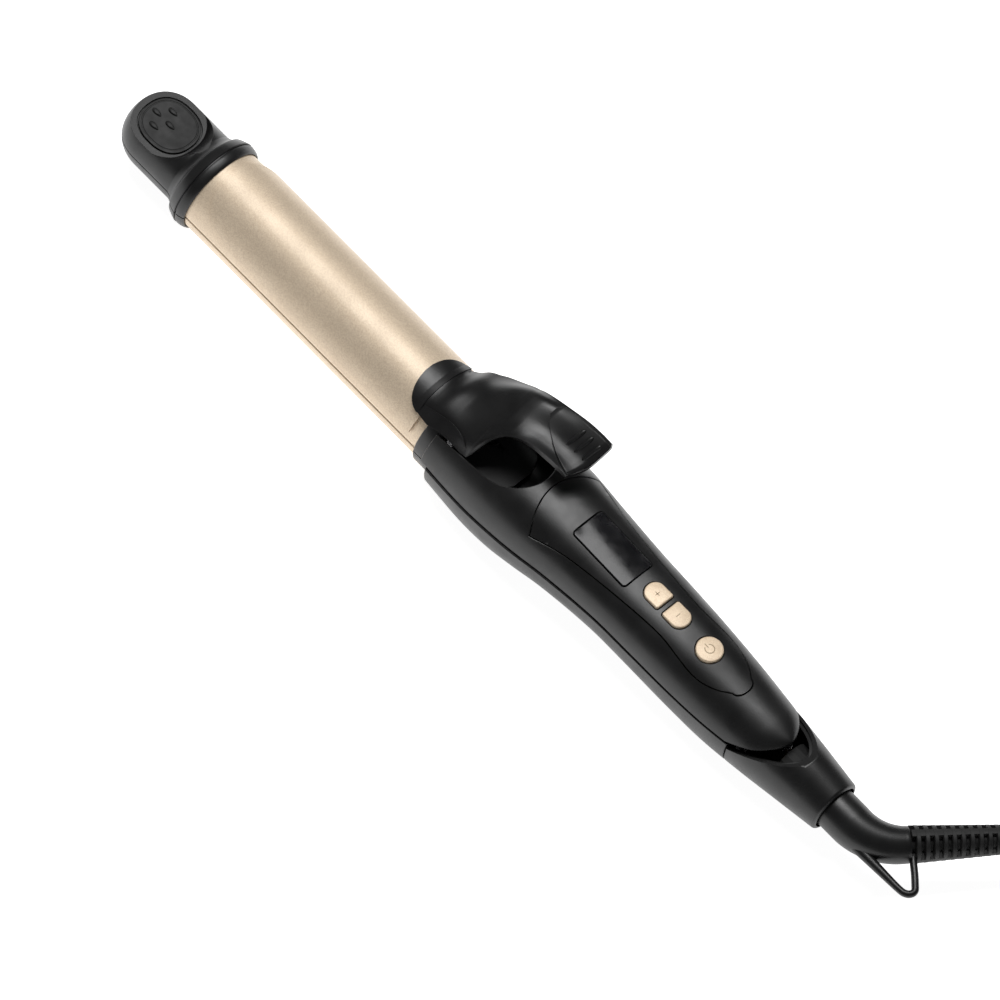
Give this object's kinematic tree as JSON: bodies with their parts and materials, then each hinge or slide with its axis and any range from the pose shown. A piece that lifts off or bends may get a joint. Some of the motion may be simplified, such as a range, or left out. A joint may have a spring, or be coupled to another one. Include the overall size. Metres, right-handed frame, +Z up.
{
  "type": "curling wand",
  "caption": "Two-arm hair iron with a split round barrel, spring clamp on a curved lever, shaped handle with display and keys, and a swivelling ribbed cord exit.",
  "frame": {"origin": "centre of the flat under the handle's thickest part, on which the wand lies", "axes": "+X along the wand towards the cool tip, +Y to the side away from the thumb paddle, +Z up through the console"},
  "size_m": [0.4831, 0.1199, 0.0548],
  "materials": {
    "shell_black": "satin black moulded plastic with a fine grain",
    "inner_black": "plain black moulded plastic",
    "champagne_coating": "champagne gold ceramic coating with fine flakes",
    "key_coating": "pale champagne metallic lacquer",
    "lens_black": "glossy smoked black",
    "display_grey": "matte display module",
    "board_green": "solder mask",
    "steel": "plain bright steel",
    "brass": "plain brass",
    "ceramic": "unglazed ceramic",
    "contact_moulding": "pale insulating moulding",
    "triac_black": "black moulded block",
    "rubber_black": "matt black rubber"
  },
  "bodies": {
    "lower_arm": {"lower_shell": "shell_black", "tail_cone": "shell_black", "lower_half_barrel": "champagne_coating", "lower_tip": "shell_black", "lower_base_ring": "shell_black", "lower_heater": "ceramic", "lower_cover": "inner_black", "hinge_bracket": "steel", "arm_hinge_pin": "steel", "arm_stop_screw": "steel", "swivel_retainer": "steel", "contact_block": "contact_moulding", "power_board": "board_green", "triac_block": "triac_black", "thermal_fuse": "steel"},
    "upper_arm": {"upper_shell": "shell_black", "arm_chassis": "inner_black", "upper_half_barrel": "champagne_coating", "upper_tip": "shell_black", "tip_pad": "rubber_black", "upper_base_ring": "shell_black", "upper_heater": "ceramic", "temperature_sensor": "ceramic", "console_panel": "shell_black", "display_lens": "lens_black", "display_module": "display_grey", "control_board": "board_green", "plus_switch": "steel", "minus_switch": "steel", "power_switch": "steel", "lever_well": "inner_black", "lever_pin": "steel", "lever_spring": "steel"},
    "clamp": {"clamp_plate": "champagne_coating", "clamp_lever": "shell_black", "thumb_pad": "shell_black"},
    "plus_button": {"plus_key": "key_coating"},
    "minus_button": {"minus_key": "key_coating"},
    "power_button": {"power_key": "key_coating"},
    "swivel": {"swivel_elbow": "shell_black", "strain_relief": "rubber_black", "swivel_contact": "brass", "cord_lead": "rubber_black", "cord_coil": "rubber_black", "cord_tail": "rubber_black", "plug_body": "rubber_black", "plug_blade_live": "steel", "plug_blade_neutral": "steel"}
  },
  "joints": [
    {"name": "arm_hinge", "type": "hinge", "parent": "lower_arm", "child": "upper_arm", "pos_m": [-0.126, 0, 0.0187], "axis": [0, -1, 0], "range_deg": [0, 10]},
    {"name": "clamp_hinge", "type": "hinge", "parent": "upper_arm", "child": "clamp", "pos_m": [0.013, 0, 0.0293], "axis": [0, -1, 0], "range_deg": [0, 11], "stiffness_Nm_per_rad": 0.5, "springref_deg": -11.46, "deforming": ["lever_spring"]},
    {"name": "plus_press", "type": "slide", "parent": "upper_arm", "child": "plus_button", "axis": [0, 0, -1], "range_m": [0, 0.0006], "stiffness_N_per_m": 400, "springref_m": -0.0005},
    {"name": "minus_press", "type": "slide", "parent": "upper_arm", "child": "minus_button", "axis": [0, 0, -1], "range_m": [0, 0.0006], "stiffness_N_per_m": 400, "springref_m": -0.0005},
    {"name": "power_press", "type": "slide", "parent": "upper_arm", "child": "power_button", "axis": [0, 0, -1], "range_m": [0, 0.0006], "stiffness_N_per_m": 400, "springref_m": -0.0005},
    {"name": "swivel_turn", "type": "hinge", "parent": "lower_arm", "child": "swivel", "pos_m": [-0.16, 0, 0.0177], "axis": [1, 0, 0], "continuous": true}
  ]
}
